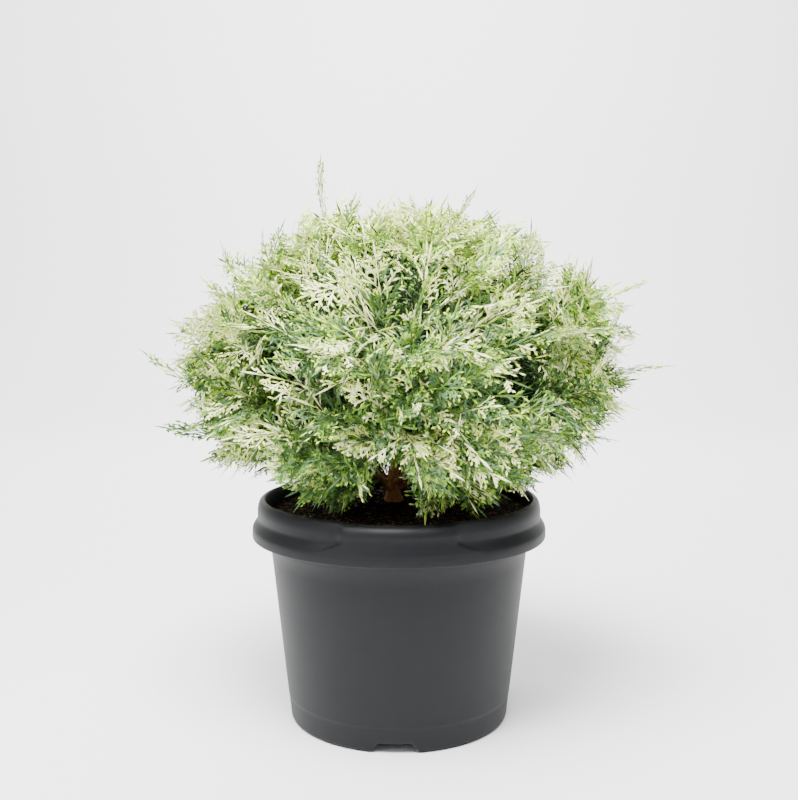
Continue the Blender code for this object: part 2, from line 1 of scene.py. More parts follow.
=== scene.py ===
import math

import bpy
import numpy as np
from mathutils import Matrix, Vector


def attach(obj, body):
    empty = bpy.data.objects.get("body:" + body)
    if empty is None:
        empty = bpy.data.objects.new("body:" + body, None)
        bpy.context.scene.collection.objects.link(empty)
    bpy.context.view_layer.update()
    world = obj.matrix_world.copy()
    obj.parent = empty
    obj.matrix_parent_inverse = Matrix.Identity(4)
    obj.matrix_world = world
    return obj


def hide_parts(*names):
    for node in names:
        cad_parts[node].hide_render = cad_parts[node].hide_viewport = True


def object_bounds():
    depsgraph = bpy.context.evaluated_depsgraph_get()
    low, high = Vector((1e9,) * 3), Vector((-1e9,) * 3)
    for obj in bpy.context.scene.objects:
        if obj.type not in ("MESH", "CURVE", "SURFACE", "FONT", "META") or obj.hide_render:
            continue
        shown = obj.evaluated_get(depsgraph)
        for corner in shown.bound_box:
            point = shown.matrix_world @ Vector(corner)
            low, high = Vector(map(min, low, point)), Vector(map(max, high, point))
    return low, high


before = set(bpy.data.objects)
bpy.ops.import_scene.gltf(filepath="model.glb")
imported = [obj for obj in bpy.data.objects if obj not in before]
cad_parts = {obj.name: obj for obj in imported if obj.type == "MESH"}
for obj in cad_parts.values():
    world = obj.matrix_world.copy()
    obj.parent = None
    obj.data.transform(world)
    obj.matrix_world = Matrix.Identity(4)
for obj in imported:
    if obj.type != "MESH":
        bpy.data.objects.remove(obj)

# Potted variegated Lawson cypress: a young globe-shaped conifer in a moulded grower's pot.
# Metres, +Z up, the origin under the middle of the pot, -Y is the front. A vector is a numpy
# array whose last axis is x, y, z. Angles in the dictionaries are in degrees, or in radians where
# a note says so.

cadBox = [list(corner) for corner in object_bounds()]
rng = np.random.default_rng(41)


# Shared tools

def linear(hexColour):
    # an sRGB hex value as linear light: a straight line near black, and a power of 2.4 above it
    channels = [int(hexColour[i:i + 2], 16) / 255 for i in (0, 2, 4)]
    return [c / 12.92 if c <= 0.04045 else ((c + 0.055) / 1.055) ** 2.4 for c in channels]


def addNode(tree, kind, settings=None, links=None):
    # a shader node with its settings, and links from {input: (node, output)}
    made = tree.nodes.new(kind)
    for name, value in (settings or {}).items():
        if name in made.inputs:
            made.inputs[name].default_value = value
        else:
            setattr(made, name, value)
    for name, (source, output) in (links or {}).items():
        tree.links.new(source.outputs[output], made.inputs[name])
    return made


def makeMaterial(name, colour, roughness, ior, sockets=None):
    # a Principled material with its uniform values on the shader's own sockets
    made = bpy.data.materials.new(name)
    made.use_nodes = True
    shader = made.node_tree.nodes["Principled BSDF"]
    shader.inputs["Base Color"].default_value = (*linear(colour), 1)
    shader.inputs["Roughness"].default_value = roughness
    shader.inputs["IOR"].default_value = ior
    for socket, value in (sockets or {}).items():
        shader.inputs[socket].default_value = value
    return made


def addBump(material, cells, depth, strength, detail, stretch=(1, 1, 1)):
    # fine relief from noise on Object coordinates, in cells per metre, with its depth in metres
    tree = material.node_tree
    place = addNode(tree, "ShaderNodeTexCoord")
    mapping = addNode(tree, "ShaderNodeMapping", {"Scale": stretch}, {"Vector": (place, "Object")})
    grain = {"Scale": cells, "Detail": detail}
    noise = addNode(tree, "ShaderNodeTexNoise", grain, {"Vector": (mapping, "Vector")})
    relief = {"Strength": strength, "Distance": depth}
    bump = addNode(tree, "ShaderNodeBump", relief, {"Height": (noise, "Fac")})
    tree.links.new(bump.outputs["Normal"], tree.nodes["Principled BSDF"].inputs["Normal"])


def makePiece(name, points, triangles, material, smooth=True, nodes=()):
    # an object at the origin from points and rows of three corner numbers, tied to the frame
    points = np.asarray(points, dtype=np.float32).reshape(-1, 3)
    triangles = np.asarray(triangles, dtype=np.int32)
    mesh = bpy.data.meshes.new(name)
    mesh.vertices.add(len(points))
    mesh.vertices.foreach_set("co", points.ravel())
    mesh.loops.add(triangles.size)
    mesh.loops.foreach_set("vertex_index", triangles.ravel())
    mesh.polygons.add(len(triangles))
    mesh.polygons.foreach_set("loop_start", np.arange(len(triangles), dtype=np.int32) * 3)
    mesh.polygons.foreach_set("use_smooth", np.full(len(triangles), smooth))
    mesh.update(calc_edges=True)
    mesh.validate()
    mesh.materials.append(material)
    piece = bpy.data.objects.new(name, mesh)
    bpy.context.collection.objects.link(piece)
    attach(piece, "root")
    if nodes:
        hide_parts(*nodes)


def gridFaces(rows, columns, closed=True):
    # quads of a grid of rows by columns points, the columns joined round when closed
    steps = columns if closed else columns - 1
    row, here = np.meshgrid(np.arange(rows - 1) * columns, np.arange(steps), indexing="ij")
    there = (here + 1) % columns
    corners = [row + here, row + there, row + columns + there, row + columns + here]
    return np.stack(corners, -1).reshape(-1, 4)


def shellFaces(rings, stations):
    # Triangles of a closed shell: its rings, then the middle point that closes the first ring and
    # the one that closes the last. They face out where the rings run up round the outside.
    quads = gridFaces(rings, stations)
    first = np.arange(stations)
    last = first + (rings - 1) * stations
    pole = np.full(stations, rings * stations)
    return np.concatenate([
        np.stack([pole, np.roll(first, -1), first], -1), quads[:, [0, 1, 2]], quads[:, [0, 2, 3]],
        np.stack([last, np.roll(last, -1), pole + 1], -1)])


def unit(v):
    # vectors divided by their own length
    return v / np.maximum(np.linalg.norm(v, axis=-1, keepdims=True), 1e-12)


def bearing(azimuth, elevation):
    # a unit direction from its azimuth a, from +X, and elevation e: cos a cos e, sin a cos e, sin e
    a, e = np.radians(azimuth), np.radians(elevation)
    return np.stack([np.cos(a) * np.cos(e), np.sin(a) * np.cos(e), np.sin(e)], -1)


def smoothStep(low, high, x):
    # 0 below low, 1 above high, and three t squared less two t cubed between them
    t = np.clip((x - low) / (high - low), 0, 1)
    return t * t * (3 - 2 * t)


def turnAbout(v, axis, angle):
    # Rodrigues' turn of v about a unit axis: v cos, plus axis x v sin, plus its share along the axis
    angle = np.asarray(angle)[..., None]
    along = (v * axis).sum(-1, keepdims=True) * axis
    return v * np.cos(angle) + np.cross(axis, v) * np.sin(angle) + along * (1 - np.cos(angle))


def tubePoints(paths, radii, sides, relief=None):
    # Rings round many paths at once: path point plus radius times (cos turn, sin turn) in the plane
    # across the path. Paths are (count, steps, 3), radii (count, steps), and relief adds to the radii.
    tangent = unit(np.gradient(paths, axis=1))
    side = unit(np.cross(tangent, np.array([0.31, 0.83, 0.11])))
    up = np.cross(tangent, side)
    turn = np.linspace(0, 2 * np.pi, sides, endpoint=False)
    ring = np.cos(turn)[:, None] * side[:, :, None] + np.sin(turn)[:, None] * up[:, :, None]
    radii = radii[..., None] * np.ones(sides)
    if relief is not None:
        radii = radii + relief(turn, radii.shape)
    return paths[:, :, None] + ring * radii[..., None]


def tubeFaces(count, steps, sides):
    # triangles of count tubes, each closed at both ends by a fan over its own ring
    quads = gridFaces(steps, sides)
    k = np.arange(1, sides - 1)
    lowCap = np.stack([np.zeros_like(k), k + 1, k], -1)
    highCap = (steps - 1) * sides + np.stack([np.zeros_like(k), k, k + 1], -1)
    tube = np.concatenate([quads[:, [0, 1, 2]], quads[:, [0, 2, 3]], lowCap, highCap])
    return (np.arange(count)[:, None, None] * steps * sides + tube[None]).reshape(-1, 3)


def evenTaper(paths, foot, tip):
    # radii that go evenly from foot to tip along each path
    left = np.linspace(1, 0, paths.shape[1])
    return np.repeat((tip + (foot - tip) * left)[None], len(paths), 0)


# Pot

pot = {
    "height": 0.1437, "footRadius": 0.0713, "wall": 0.0014, "floor": 0.0022,
    "edge": 0.001,  # the moulding's rounding, which its small distances are multiples of
    "footRound": 0.0018, "wallStart": 0.004, "wallPlain": 0.024, "insideStart": 0.012,
    "stepLow": 0.1125, "stepHigh": 0.1180, "bodyTop": 0.0832,  # the stacking step
    "collarRadius": 0.0950, "collarBottom": 0.1192, "skirtLow": 0.1212, "skirtHigh": 0.1240,
    "gripRadius": 0.0916, "gripLow": 0.1268, "gripHigh": 0.1385,  # the recesses at both sides
    "recessStart": 0.1246, "recessEnd": 0.1322, "recessAbove": 0.1330,
    "gripCorner": 9.0, "gripCornerHeight": 0.006,  # rounds the lower corners of the grips
    "plainHalfAngle": 21.0, "blendBefore": 1.0, "blendAfter": 2.4,
    "plainSwell": 0.0018, "swellStart": 0.1250, "swellEnd": 0.1345,
    "lipRadius": 0.0872, "lipDip": 0.0010,  # the lip dips in front and at the back
    "insideHeights": (0.1400, 0.1360, 0.1300, 0.1240),
    "bandHeight": 0.0165, "bandStep": 0.0002,  # a faint line round the foot
    "channels": 3, "channelTurn": -92.0, "channelHeight": 0.0057, "channelInnerEnd": 0.044,
    "channelTopWidth": 0.021, "channelFootWidth": 0.035,
    "poleRadius": 0.004, "stations": 432,
}


def gripShare(angle, height):
    # 1 in the two side grips, 0 on the plain collar: a smooth step in the angle from the middle of
    # front or back. Near the grip's foot its start moves round by a squared ramp.
    fromMiddle = np.abs((np.degrees(angle) + 180) % 180 - 90)
    cornerTop = pot["gripLow"] + pot["gripCornerHeight"]
    below = np.clip((cornerTop - height) / pot["gripCornerHeight"], 0, 1)
    start = pot["plainHalfAngle"] + pot["gripCorner"] * below ** 2
    return smoothStep(start - pot["blendBefore"], start + pot["blendAfter"], fromMiddle)


def channelLift(angle, radius):
    # Height of the drainage channels' roofs over the foot plane, 0 away from them: across each
    # channel and at its inner end the roof comes down by smooth steps.
    edge = pot["edge"]
    top, foot = pot["channelTopWidth"] / 2, pot["channelFootWidth"] / 2
    lift = np.zeros(angle.shape)
    for k in range(pot["channels"]):
        middle = math.radians(pot["channelTurn"] + 360 * k / pot["channels"])
        outward = radius * np.cos(angle - middle)
        across = np.abs(radius * np.sin(angle - middle))
        side = 1 - smoothStep(top - edge, foot - 2.5 * edge, across)
        end = pot["channelInnerEnd"]
        start = smoothStep(end - 0.6 * edge, end + 0.6 * edge, outward)
        lift = np.maximum(lift, pot["channelHeight"] * side * start)
    return lift


def wallRadius(height):
    # the tapering wall: a straight line from the rounded foot to the stacking step
    slope = (pot["bodyTop"] - pot["footRadius"]) / (pot["stepLow"] - pot["footRound"])
    return pot["footRadius"] + slope * (height - pot["footRound"])


def shoulderRadius(angle, height):
    # top of the collar: the grips' radius, and a swell on the plain collar
    return pot["gripRadius"] + pot["plainSwell"] * (1 - gripShare(angle, height))


def potFoot(angle):
    # rings from the middle of the underside to the seat, lifted over the channels
    seat = pot["footRadius"] - 1.5 * pot["edge"]
    return [(r, channelLift(angle, r)) for r in np.linspace(pot["poleRadius"], seat, 34)]


def potWall(angle):
    # Rings up the outside, from stops of (height, how far the wall stands back). Over a channel the
    # wall starts at the channel's roof and catches up with its own height at the band.
    edge, band, step = pot["edge"], pot["bandHeight"], pot["bandStep"]
    lift = channelLift(angle, pot["footRadius"] - 1.2 * edge)
    stops = [(pot["footRound"] * t, 1.5 * edge * (1 - t) ** 2 + step) for t in (0.25, 0.5, 0.75, 1.0)]
    stops += [(z, step) for z in np.linspace(pot["wallStart"], band - 0.4 * edge, 6)]
    stops += [(band + 0.1 * edge, 0.0), (band + 0.6 * edge, 0.0)]
    stops += [(z, 0.0) for z in np.linspace(pot["wallPlain"], pot["stepLow"], 12)]
    rows = []
    for z, back in stops:
        height = lift + z * (band - lift) / band if z < band else z
        rows.append((wallRadius(height) - back, height))
    return rows


def underCollar(angle):
    # rings over the step, up the gap behind the collar, and down the collar's hollow side
    edge = pot["edge"]
    body = pot["lipRadius"] + 0.4 * edge
    roof = pot["gripHigh"] - 2.5 * edge
    rows = [(body - 0.3 * edge, pot["stepHigh"]), (body + 0.5 * edge, pot["gripHigh"] - 3 * edge)]
    rows += [(body + 0.8 * edge, roof)]
    rows += [(shoulderRadius(angle, roof) - pot["wall"] - 0.5 * edge, roof)]
    for z in (roof - 0.8 * edge, pot["gripLow"] + 4 * edge, pot["gripLow"] + 0.6 * edge):
        rows.append((shoulderRadius(angle, z) - pot["wall"], z))
    skirtInside = pot["collarRadius"] - pot["wall"] - 0.3 * edge
    for z in (pot["gripLow"] - 1.8 * edge, pot["gripLow"] - 4 * edge, pot["collarBottom"] + 1.3 * edge):
        rows.append((skirtInside, z))
    return rows


def collarOutside(angle, height, skirt, deepening):
    # outer radius over the skirt: the plain collar eases from the skirt to its swell, and the grips
    # ease to their own radius by the share deepening
    swelling = smoothStep(pot["swellStart"], pot["swellEnd"], height)
    plain = skirt + (pot["gripRadius"] + pot["plainSwell"] - skirt) * swelling
    recess = skirt + (pot["gripRadius"] - skirt) * deepening
    return plain + (recess - plain) * gripShare(angle, height)


def overCollar(angle):
    # rings round the collar's rolled lower edge and up its skirt and grips to the shoulder
    edge, outer = pot["edge"], pot["collarRadius"]
    rows = []
    for t in np.linspace(0, np.pi, 7):
        radius = outer - 0.7 * edge - 0.8 * edge * np.cos(t)
        rows.append((radius, pot["collarBottom"] + 0.8 * edge * (1 - np.sin(t))))
    for z in np.linspace(pot["skirtLow"], pot["skirtHigh"], 3):
        rows.append((outer + 0.1 * edge, z))
    for z in np.linspace(pot["recessStart"], pot["recessEnd"], 16):
        deepening = smoothStep(pot["recessStart"], pot["recessEnd"], z)
        rows.append((collarOutside(angle, z, outer - 0.2 * edge * deepening, deepening), z))
    for z in np.linspace(pot["recessAbove"], pot["gripHigh"] - 1.6 * edge, 6):
        rows.append((collarOutside(angle, z, outer, 1.0), z))
    return rows


def potLip(angle):
    # rings over the shoulder, a power curve in radius and height, and round the lip
    edge, lip = pot["edge"], pot["lipRadius"]
    outer = shoulderRadius(angle, pot["gripHigh"])
    top = pot["height"] - pot["lipDip"] * (1 - gripShare(angle, pot["gripHigh"]))
    low = pot["gripHigh"] - 1.6 * edge
    rows = []
    for t in np.linspace(0.0, 1.0, 9)[1:]:
        radius = outer + (lip + 1.1 * edge - outer) * t ** 1.35
        rows.append((radius, low + (top - 0.3 * edge - low) * (1 - (1 - t) ** 2.2)))
    quarter = np.linspace(0, np.pi / 2, 4)[1:]
    for t in quarter:
        rows.append((lip + 0.3 * edge + 0.8 * edge * np.cos(t), top - 0.3 * edge * (1 - np.sin(t))))
    for t in quarter:
        rows.append((lip + 0.3 * edge - 0.8 * edge * np.sin(t), top - edge * (1 - np.cos(t))))
    return rows


def potInside(angle):
    # rings down the inside, over the step, down the wall and in across the floor
    mouth = pot["lipRadius"] + 0.4 * pot["edge"] - pot["wall"]
    rows = [(mouth, z) for z in (*pot["insideHeights"], pot["stepHigh"] + pot["edge"])]
    for z in np.linspace(pot["stepLow"], pot["insideStart"], 6):
        rows.append((wallRadius(z) - pot["wall"], z))
    floorRadius = pot["footRadius"] - pot["wall"] - 0.2 * pot["edge"]
    for r in np.linspace(floorRadius, pot["poleRadius"], 30):
        rows.append((r, pot["floor"] + channelLift(angle, r)))
    return rows


def makePot():
    # The profile of (radius, height) pairs is carried round the axis: x = radius cos angle,
    # y = radius sin angle. Each value is one number or an array over the angles.
    angle = np.linspace(0, 2 * np.pi, pot["stations"], endpoint=False)
    rows = potFoot(angle) + potWall(angle) + underCollar(angle) + overCollar(angle)
    rows += potLip(angle) + potInside(angle)
    radius = np.stack([np.broadcast_to(r, angle.shape) for r, _ in rows])
    height = np.stack([np.broadcast_to(h, angle.shape) for _, h in rows])
    rings = np.stack([radius * np.cos(angle), radius * np.sin(angle), height], -1)
    points = np.concatenate([rings.reshape(-1, 3), [[0, 0, 0], [0, 0, pot["floor"]]]])
    # moulded polypropylene: a dull satin skin, nearly black, with broad soft highlights
    dull = {"Specular IOR Level": 0.22}
    material = makeMaterial("moulded polypropylene, anthracite", "0E0F12", 0.50, 1.49, dull)
    # the eroded mould's grain breaks the highlights up; it is 0.1 mm, and drawn at 0.35 mm to show
    addBump(material, 2900, 0.00006, 0.35, 3.0)
    makePiece("potShell", points, shellFaces(len(rows), len(angle)), material, nodes=["pot"])


# Soil

soil = {
    "edge": 0.1345, "shoulder": 0.1362, "middle": 0.1375,  # heights of the mound
    "outer": 0.0861, "shoulderRadius": 0.0628, "flatRadius": 0.024,
    "poleRadius": 0.0006, "rimGap": 0.0001, "depth": 0.012, "rings": 150, "spokes": 360,
    "relief": 0.0009, "fine": 0.45, "level": 0.25, "calmRadius": 0.008,
    "octaves": 6, "rough": 0.72, "waveNumber": 260.0, "finer": 2.1, "seed": 3,
}

grains = {  # how many, half lengths, lift over the soil, material, colour, roughness
    "soilCrumbs": (2600, (0.0007, 0.0019), 0.0003, "bark crumbs, dark", "2A1A10", 0.8),
    "soilChips": (420, (0.0010, 0.0032), 0.0004, "bark chips, red brown", "55361F", 0.7),
    "soilFlecks": (260, (0.0003, 0.0009), 0.0006, "dry fibres and grit, pale", "A08C6C", 0.8),
}
grainShape = {"proportions": (1.0, 0.55, 0.22), "scatter": (0.7, 1.3), "tilt": 0.7,  # radians
              "rimGap": 0.003, "trunkGap": 0.008}


def soilHeight(x, y):
    # the mound: straight slopes between the heights of its middle, shoulder and edge
    stops = [0, soil["flatRadius"], soil["shoulderRadius"], soil["outer"]]
    levels = [soil["middle"], soil["middle"], soil["shoulder"], soil["edge"]]
    return np.interp(np.hypot(x, y), stops, levels)


def soilWaves(x, y):
    # soft lumps: three sine waves in random directions for each octave, each finer and lower
    dice = np.random.default_rng(soil["seed"])
    total = 0
    for k in range(soil["octaves"]):
        finer = soil["waveNumber"] * soil["finer"] ** k
        for _ in range(3):
            a, phase = dice.uniform(0, 2 * np.pi, 2)
            ahead = x * math.cos(a) + y * math.sin(a)
            total = total + soil["rough"] ** k * np.sin(ahead * finer + phase)
    return total / 4


def makeSoil():
    # a disc of rings and spokes at the mound's height plus relief, closed by a skirt and a flat base
    spokes, base = soil["spokes"], soil["edge"] - soil["depth"]
    r = np.linspace(soil["poleRadius"], soil["outer"] - soil["rimGap"], soil["rings"])[:, None]
    a = np.linspace(0, 2 * np.pi, spokes, endpoint=False)[None]
    x, y = r * np.cos(a), r * np.sin(a)
    lumps = soil["relief"] * (soilWaves(x, y) - soil["level"])
    fine = soil["relief"] * soil["fine"] * rng.normal(0, 1, x.shape)
    z = soilHeight(x, y) + (lumps + fine) * smoothStep(0.0, soil["calmRadius"], r)
    top = np.stack([x, y, z], -1).reshape(-1, 3)
    skirt = np.stack([x[-1], y[-1], np.full(spokes, base)], -1)
    points = np.concatenate([top, skirt, [[0, 0, soil["middle"]], [0, 0, base]]])
    faces = shellFaces(soil["rings"] + 1, spokes)[:, ::-1]  # these rings run outwards and down
    # composted bark: damp and dull, broken between near black and red brown in crumbs of 2 mm
    material = makeMaterial("composted bark, damp", "1F140D", 0.85, 1.4)
    tree = material.node_tree
    place = addNode(tree, "ShaderNodeTexCoord")
    crumbs = {"Scale": 520, "Detail": 6.0}
    noise = addNode(tree, "ShaderNodeTexNoise", crumbs, {"Vector": (place, "Object")})
    ramp = addNode(tree, "ShaderNodeValToRGB", None, {"Fac": (noise, "Fac")})
    for stop, position, colour in zip(ramp.color_ramp.elements, (0.40, 0.72), ("0F0A08", "3A2618")):
        stop.position = position
        stop.color = (*linear(colour), 1)
    tree.links.new(ramp.outputs["Color"], tree.nodes["Principled BSDF"].inputs["Base Color"])
    makePiece("soilBed", points, faces, material, smooth=False, nodes=["soil"])


def scatterGrains(name):
    # Small uneven octahedra, flattened, tilted about X, turned about Z and laid into the soil at
    # radii that spread them evenly, clear of the trunk's foot.
    count, sizes, lift, finish, colour, roughness = grains[name]
    a = rng.uniform(0, 2 * np.pi, count)
    r = (soil["outer"] - grainShape["rimGap"]) * np.sqrt(rng.uniform(0.02, 1, count))
    centre = np.stack([r * np.cos(a), r * np.sin(a)], -1)
    away = np.linalg.norm(centre - trunk["foot"][:2], axis=-1)
    centre = centre[away > grainShape["trunkGap"]]
    n = len(centre)
    z = soilHeight(centre[:, 0], centre[:, 1]) + lift
    size = rng.uniform(*sizes, (n, 1, 1)) * np.array(grainShape["proportions"])
    corners = np.array([[1, 0, 0], [0, 1, 0], [-1, 0, 0], [0, -1, 0], [0, 0, 1], [0, 0, -1]]) * 1.0
    points = corners[None] * size * rng.uniform(*grainShape["scatter"], (n, 6, 1))
    turn = rng.uniform(0, 2 * np.pi, n)
    tilt = rng.uniform(-grainShape["tilt"], grainShape["tilt"], n)
    points = turnAbout(points, np.array([1.0, 0, 0]), np.repeat(tilt[:, None], 6, 1))
    points = turnAbout(points, np.array([0, 0, 1.0]), np.repeat(turn[:, None], 6, 1))
    points += np.concatenate([centre, z[:, None]], 1)[:, None]
    upper = np.array([[0, 1, 4], [1, 2, 4], [2, 3, 4], [3, 0, 4]])
    lower = np.array([[1, 0, 5], [2, 1, 5], [3, 2, 5], [0, 3, 5]])
    faces = np.arange(n)[:, None, None] * 6 + np.concatenate([upper, lower])[None]
    # matt broken bits: the chips catch the light a little, the pale flecks dot the dark soil
    material = makeMaterial(finish, colour, roughness, 1.4)
    makePiece(name, points, faces.reshape(-1, 3), material, smooth=False)


# Limbs: the source's trunk and boughs, with bark relief

trunk = {
    "foot": np.array([-0.0036, 0.0110, 0.1378]), "tip": np.array([0.0095, 0.0100, 0.2380]),
    "sway": 0.0026, "radius": 0.0042, "tipRadius": 0.0015, "taper": 0.8,
    "last": 0.0030,  # length of the tip that leans with the topmost mass
    "flare": 0.0021, "flareHeight": 0.0060, "lobes": 5, "lobeShare": 0.6,
    "sides": 28, "footTop": 0.02, "upperStart": 0.0215, "relief": 0.00016, "tipRelief": 0.35,
}
bough = {"radius": 0.0021, "tipRadius": 0.0013, "rise": 0.35, "leave": 0.4, "arrive": 0.3,
         "straight": 0.08, "steps": 15, "sides": 12, "relief": 0.00009}
crown = {"heart": np.array([-0.0030, 0.0110, 0.1650]), "centre": np.array([0.0040, 0.0080, 0.2360]),
         "size": np.array([0.1440, 0.1380, 0.0980]), "massStart": 0.30}

# each mass: azimuth and elevation of its axis, its reach, and its bough's height on the trunk
masses = {
    "skirt_right": (2, 8, 0.142, 0.0075), "skirt_back_right": (62, 6, 0.138, 0.0120),
    "skirt_back_left": (120, 6, 0.138, 0.0070), "skirt_left": (178, 8, 0.150, 0.0120),
    "skirt_front_left": (-122, 3, 0.122, 0.0070), "skirt_front_right": (-55, 3, 0.122, 0.0120),
    "middle_right": (-8, 23, 0.182, 0.0250), "middle_back_right": (55, 27, 0.164, 0.0310),
    "middle_back_left": (125, 27, 0.164, 0.0250), "middle_left": (188, 22, 0.173, 0.0310),
    "middle_front": (-88, 21, 0.146, 0.0280), "upper_right": (0, 38, 0.200, 0.0460),
    "upper_back": (95, 48, 0.165, 0.0520), "upper_left": (176, 44, 0.166, 0.0460),
    "upper_front": (-82, 47, 0.160, 0.0520), "top_left": (180, 74, 0.200, 0.0700),
    "top_back": (88, 72, 0.172, 0.0780), "top_right": (-8, 75, 0.182, None),
}
boughNames = [name for name in masses if masses[name][3] is not None]


def trunkPoint(height):
    # straight from foot to tip, plus one full sine wave sideways
    span = trunk["tip"] - trunk["foot"]
    t = np.asarray(height) / span[2]
    sway = trunk["sway"] * np.sin(2 * np.pi * t)
    return trunk["foot"] + span * t[..., None] + np.stack([-sway, 0.6 * sway, 0 * sway], -1)


def massLine(name):
    # a mass's start, axis and tip: out from the crown's heart, or on from the trunk's own tip
    azimuth, elevation, reach, height = masses[name]
    axis = bearing(azimuth, elevation)
    tip = crown["heart"] + axis * reach
    if height is None:
        return trunk["tip"], unit(tip - trunk["tip"]), tip
    return crown["heart"] + axis * reach * crown["massStart"], axis, tip


def boughPath(name, steps):
    # a cubic curve that leaves the trunk rising and arrives in line with its mass, and a straight end
    start = trunkPoint(masses[name][3])
    end, axis, _ = massLine(name)
    span = np.linalg.norm(end - start)
    rising = unit(bearing(masses[name][0], 0.0) + np.array([0, 0, bough["rise"]]))
    first = start + rising * span * bough["leave"]
    last = end - axis * span * bough["straight"]
    second = last - axis * span * bough["arrive"]
    t = np.linspace(0, 1, steps)[:, None]
    early = start * (1 - t) ** 3 + first * 3 * t * (1 - t) ** 2
    late = second * 3 * t ** 2 * (1 - t) + last * t ** 3
    return np.concatenate([early + late, end[None]])


def barkRelief(depth):
    # ridges that run up the stem and drift round it, crossed by flakes, with a little noise
    def relief(turn, shape):
        # sines of the turn and of the step along the stem, summed and times the depth
        step = np.arange(shape[1])[None, :, None]
        ridges = np.sin(7 * turn + 0.16 * step) + 0.6 * np.sin(13 * turn - 0.11 * step + 1.3)
        flakes = np.sin(3 * turn + 0.53 * step) * np.sin(0.31 * step + 2.0 * np.sin(2 * turn))
        return depth * (0.5 * ridges + 0.8 * flakes + 0.35 * rng.normal(0, 1, shape))
    return relief


def makeTrunk(bark):
    # a tube that tapers by a power of its height, with a flare that fades and is lobed by a cosine
    length = trunk["tip"][2] - trunk["foot"][2]
    upper = np.linspace(trunk["upperStart"], length - trunk["last"], 46)
    heights = np.concatenate([np.linspace(0, trunk["footTop"], 26), upper, [length]])
    path = trunkPoint(heights)
    path[-2] = trunk["tip"] - massLine("top_right")[1] * trunk["last"]
    thinning = (trunk["tipRadius"] - trunk["radius"]) * (heights / length) ** trunk["taper"]
    flare = trunk["flare"] * np.exp(-heights / trunk["flareHeight"])
    fibres = barkRelief(trunk["relief"])

    def footed(turn, shape):
        # the flare's lobes, plus fibres that fade evenly towards the tip
        lobes = trunk["lobeShare"] * flare[None, :, None] * np.cos(trunk["lobes"] * turn)
        fading = np.linspace(1, trunk["tipRelief"], shape[1])[None, :, None]
        return lobes + fibres(turn, shape) * fading

    radii = trunk["radius"] + thinning + flare
    points = tubePoints(path[None], radii[None], trunk["sides"], footed)
    points[0, 0, :, 2] = path[0, 2]  # the foot's ring is level
    makePiece("trunkBark", points, tubeFaces(1, len(path), trunk["sides"]), bark, nodes=["trunk"])


def makeLimbs():
    # young cypress bark: matt orange brown; its fibres run up the stem, 0.7 mm wide, six times as long
    bark = makeMaterial("young cypress bark, thin and flaking", "A87440", 0.75, 1.45)
    addBump(bark, 1500, 0.0002, 0.6, 5.0, (1, 1, 0.16))
    makeTrunk(bark)
    paths = np.stack([boughPath(name, bough["steps"]) for name in boughNames])
    radii = evenTaper(paths, bough["radius"], bough["tipRadius"])
    points = tubePoints(paths, radii, bough["sides"], barkRelief(bough["relief"]))
    faces = tubeFaces(len(paths), paths.shape[1], bough["sides"])
    makePiece("boughBark", points, faces, bark, nodes=["bough_" + name for name in boughNames])


# Twigs: each mass's stem and its twigs, by the source's rule

twig = {
    "count": 16, "angle": 60.0, "angleScatter": (0.75, 1.1), "roll": 137.5,
    "rollScatter": 0.4,  # radians
    "length": 0.64, "lengthScatter": (0.75, 1.1), "shortening": 0.30, "first": 0.0, "spread": 0.96,
    "outwards": 0.6, "droop": 0.10, "outline": 0.86,
    "stemWave": 0.0012, "stemWaves": 7.0, "lead": 0.044,  # lead: what the stem's last fan reaches on
    "stemRadius": 0.0012, "radius": 0.00075, "tipRadius": 0.00035, "stemSides": 8, "sides": 5,
}


def outlineShare(points):
    # distance from the crown's middle, as a share of the rounded outline's radius in that direction
    return np.linalg.norm((points - crown["centre"]) / crown["size"], axis=-1)


def growTwigs():
    # For every mass: a gently waving stem, and twigs that leave it round and round and bend outwards.
    # A twig is its foot plus its length times (leave (s - s squared / 2) + bend s squared / 2), for
    # s from 0 to 1.
    stems, twigs = [], []
    count = twig["count"]
    for name in masses:
        start, axis, tip = massLine(name)
        length = np.linalg.norm(tip - start)
        wood = length - twig["lead"]
        t = np.linspace(0, 1, 9)[:, None]
        wave = twig["stemWave"] * np.sin(t * twig["stemWaves"] + rng.uniform(0, 6))
        stems.append(start + axis * wood * t + wave * unit(np.cross(axis, [0.2, 0.5, 0.9])) * t)
        share = twig["first"] + twig["spread"] * np.arange(count) / (count - 1)
        scatter = rng.uniform(-twig["rollScatter"], twig["rollScatter"], count)
        roll = np.radians(twig["roll"]) * np.arange(count) + scatter
        across = unit(np.cross(axis, np.array([0.37, 0.21, 0.90])))
        across = turnAbout(np.repeat(across[None], count, 0), axis, roll)
        lean = np.radians(twig["angle"] * rng.uniform(*twig["angleScatter"], count))[:, None]
        leave = unit(axis * np.cos(lean) + across * np.sin(lean))
        at = start + axis * wood * share[:, None]
        long = length * twig["length"] * (1 - twig["shortening"] * share)
        long = long * rng.uniform(*twig["lengthScatter"], count)
        out = unit(at + leave * long[:, None] - crown["heart"])
        bend = unit(leave + out * twig["outwards"] + np.array([0, 0, -twig["droop"]]))
        for _ in range(16):  # no bare wood near the outline
            over = outlineShare(at + (leave + bend) * long[:, None] / 2) > twig["outline"]
            long = np.where(over, long * 0.92, long)
        s = np.linspace(0, 1, 7)[:, None, None]
        straight = leave * (long[:, None] * (s - 0.5 * s ** 2))
        path = at + straight + bend * (long[:, None] * 0.5 * s ** 2)
        twigs.append(np.moveaxis(path, 0, 1))
    return np.stack(stems), np.concatenate(twigs)


